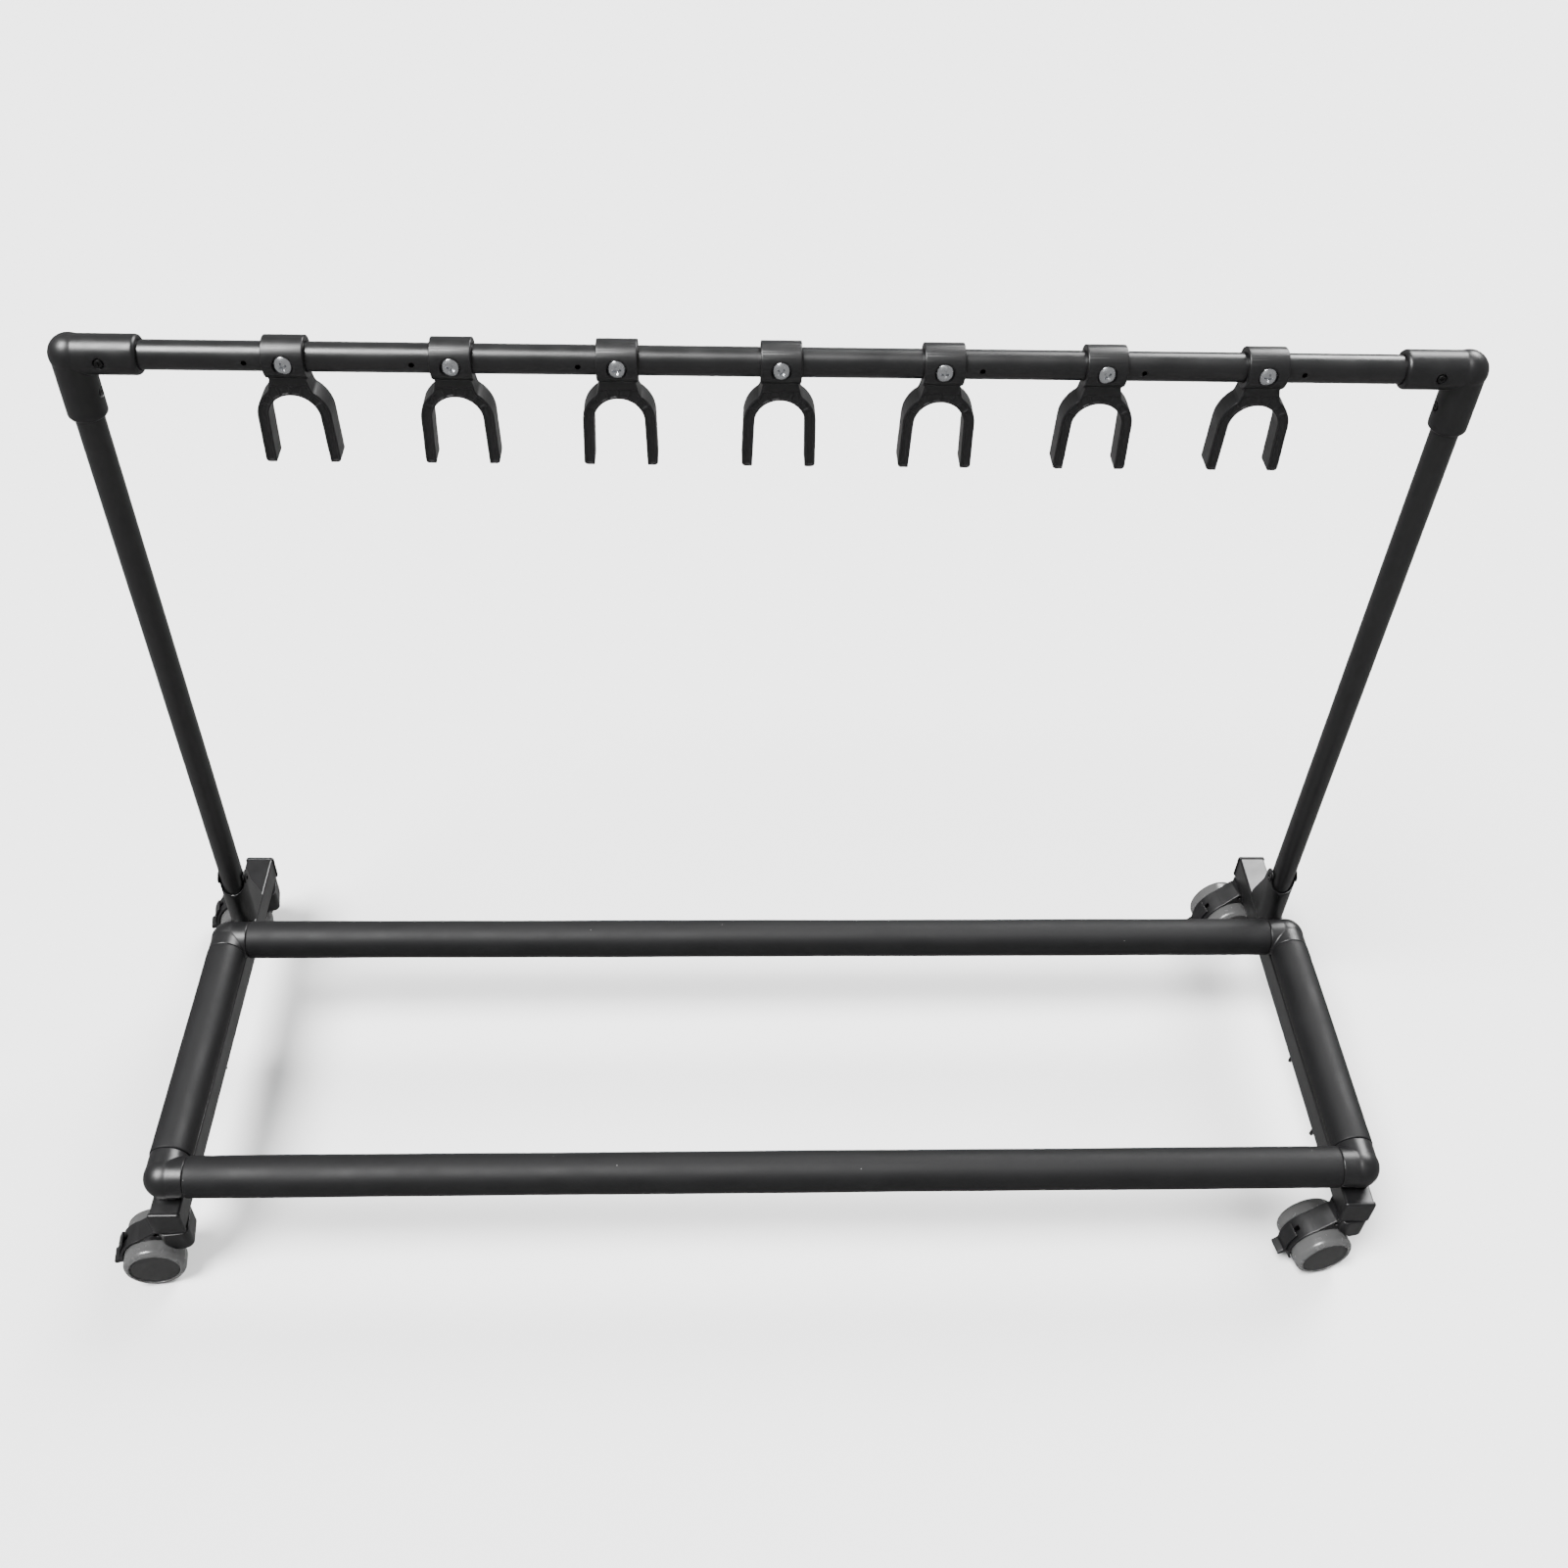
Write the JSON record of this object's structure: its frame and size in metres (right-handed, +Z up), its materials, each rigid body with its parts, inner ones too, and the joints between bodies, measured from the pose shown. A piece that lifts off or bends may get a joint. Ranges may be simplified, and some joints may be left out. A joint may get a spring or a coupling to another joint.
{
  "type": "rolling guitar rack",
  "caption": "Low rolling rack with padded bars on two rails, twin-wheel braked casters and a folding frame with hanging neck yokes.",
  "frame": {"origin": "on the floor, under the middle of the whole rack's box", "axes": "+X along the padded bars to the right seen from the front, +Y from the front to the back where the folding frame stands, +Z up"},
  "size_m": [1.0758, 0.4275, 0.7085],
  "materials": {
    "black_powder_coat": "satin black powder coat on steel",
    "black_plastic": "moulded nylon, soft sheen",
    "foam": "matt closed-cell foam",
    "zinc_steel": "bright zinc plate",
    "black_steel_screw": "black oxide",
    "grey_tread": "moulded grey polyurethane"
  },
  "bodies": {
    "base": {"rail_left": "black_powder_coat", "rail_right": "black_powder_coat", "hinge_bracket_left": "black_powder_coat", "hinge_bracket_right": "black_powder_coat", "tube_front": "black_powder_coat", "tube_rear": "black_powder_coat", "tube_side_left": "black_powder_coat", "tube_side_right": "black_powder_coat", "rail_end_caps": "black_plastic", "wing_screws": "black_plastic", "corner_elbow_front_left": "black_plastic", "corner_elbow_front_right": "black_plastic", "corner_elbow_rear_left": "black_plastic", "corner_elbow_rear_right": "black_plastic", "foam_front": "foam", "foam_rear": "foam", "foam_side_left": "foam", "foam_side_right": "foam", "pivot_rivets": "zinc_steel", "caster_stems": "zinc_steel", "stem_nuts": "zinc_steel"},
    "upper_frame": {"upright_left": "black_powder_coat", "upright_right": "black_powder_coat", "top_bar": "black_powder_coat", "top_elbow_left": "black_plastic", "top_elbow_right": "black_plastic", "yoke_1": "black_plastic", "yoke_2": "black_plastic", "yoke_3": "black_plastic", "yoke_4": "black_plastic", "yoke_5": "black_plastic", "yoke_6": "black_plastic", "yoke_7": "black_plastic", "yoke_screws": "zinc_steel", "elbow_screws": "black_steel_screw"},
    "caster_front_left": {"hood_front_left": "black_plastic", "axle_front_left": "zinc_steel"},
    "brake_front_left": {"brake_lever_front_left": "black_plastic"},
    "wheel_front_left_a": {"wheel_front_left_a": "grey_tread"},
    "wheel_front_left_b": {"wheel_front_left_b": "grey_tread"},
    "caster_front_right": {"hood_front_right": "black_plastic", "axle_front_right": "zinc_steel"},
    "brake_front_right": {"brake_lever_front_right": "black_plastic"},
    "wheel_front_right_a": {"wheel_front_right_a": "grey_tread"},
    "wheel_front_right_b": {"wheel_front_right_b": "grey_tread"},
    "caster_rear_left": {"hood_rear_left": "black_plastic", "axle_rear_left": "zinc_steel"},
    "brake_rear_left": {"brake_lever_rear_left": "black_plastic"},
    "wheel_rear_left_a": {"wheel_rear_left_a": "grey_tread"},
    "wheel_rear_left_b": {"wheel_rear_left_b": "grey_tread"},
    "caster_rear_right": {"hood_rear_right": "black_plastic", "axle_rear_right": "zinc_steel"},
    "brake_rear_right": {"brake_lever_rear_right": "black_plastic"},
    "wheel_rear_right_a": {"wheel_rear_right_a": "grey_tread"},
    "wheel_rear_right_b": {"wheel_rear_right_b": "grey_tread"}
  },
  "joints": [
    {"name": "frame_fold", "type": "hinge", "parent": "base", "child": "upper_frame", "pos_m": [0.0206, 0.1291, 0.1435], "axis": [1, 0, 0], "range_deg": [0, 90]},
    {"name": "caster_swivel_front_left", "type": "hinge", "parent": "base", "child": "caster_front_left", "pos_m": [-0.4794, -0.1829, 0.05], "axis": [0, 0, 1], "continuous": true},
    {"name": "wheel_spin_front_left_a", "type": "hinge", "parent": "caster_front_left", "child": "wheel_front_left_a", "pos_m": [-0.50121, -0.18577, 0.0254], "axis": [0.1305, -0.9914, 0], "continuous": true},
    {"name": "wheel_spin_front_left_b", "type": "hinge", "parent": "caster_front_left", "child": "wheel_front_left_b", "pos_m": [-0.50121, -0.18577, 0.0254], "axis": [0.1305, -0.9914, 0], "continuous": true},
    {"name": "brake_press_front_left", "type": "hinge", "parent": "caster_front_left", "child": "brake_front_left", "pos_m": [-0.50121, -0.18577, 0.0254], "axis": [0.1305, -0.9914, 0], "range_deg": [0, 18]},
    {"name": "caster_swivel_front_right", "type": "hinge", "parent": "base", "child": "caster_front_right", "pos_m": [0.5206, -0.1829, 0.05], "axis": [0, 0, 1], "continuous": true},
    {"name": "wheel_spin_front_right_a", "type": "hinge", "parent": "caster_front_right", "child": "wheel_front_right_a", "pos_m": [0.499, -0.1871, 0.0254], "axis": [0.1908, -0.9816, 0], "continuous": true},
    {"name": "wheel_spin_front_right_b", "type": "hinge", "parent": "caster_front_right", "child": "wheel_front_right_b", "pos_m": [0.499, -0.1871, 0.0254], "axis": [0.1908, -0.9816, 0], "continuous": true},
    {"name": "brake_press_front_right", "type": "hinge", "parent": "caster_front_right", "child": "brake_front_right", "pos_m": [0.499, -0.1871, 0.0254], "axis": [0.1908, -0.9816, 0], "range_deg": [0, 18]},
    {"name": "caster_swivel_rear_left", "type": "hinge", "parent": "base", "child": "caster_rear_left", "pos_m": [-0.4794, 0.1911, 0.05], "axis": [0, 0, 1], "continuous": true},
    {"name": "wheel_spin_rear_left_a", "type": "hinge", "parent": "caster_rear_left", "child": "wheel_rear_left_a", "pos_m": [-0.50107, 0.18728, 0.0254], "axis": [0.1736, -0.9848, 0], "continuous": true},
    {"name": "wheel_spin_rear_left_b", "type": "hinge", "parent": "caster_rear_left", "child": "wheel_rear_left_b", "pos_m": [-0.50107, 0.18728, 0.0254], "axis": [0.1736, -0.9848, 0], "continuous": true},
    {"name": "brake_press_rear_left", "type": "hinge", "parent": "caster_rear_left", "child": "brake_rear_left", "pos_m": [-0.50107, 0.18728, 0.0254], "axis": [0.1736, -0.9848, 0], "range_deg": [0, 18]},
    {"name": "caster_swivel_rear_right", "type": "hinge", "parent": "base", "child": "caster_rear_right", "pos_m": [0.5206, 0.1911, 0.05], "axis": [0, 0, 1], "continuous": true},
    {"name": "wheel_spin_rear_right_a", "type": "hinge", "parent": "caster_rear_right", "child": "wheel_rear_right_a", "pos_m": [0.49945, 0.18504, 0.0254], "axis": [0.2756, -0.9613, 0], "continuous": true},
    {"name": "wheel_spin_rear_right_b", "type": "hinge", "parent": "caster_rear_right", "child": "wheel_rear_right_b", "pos_m": [0.49945, 0.18504, 0.0254], "axis": [0.2756, -0.9613, 0], "continuous": true},
    {"name": "brake_press_rear_right", "type": "hinge", "parent": "caster_rear_right", "child": "brake_rear_right", "pos_m": [0.49945, 0.18504, 0.0254], "axis": [0.2756, -0.9613, 0], "range_deg": [0, 18]}
  ]
}
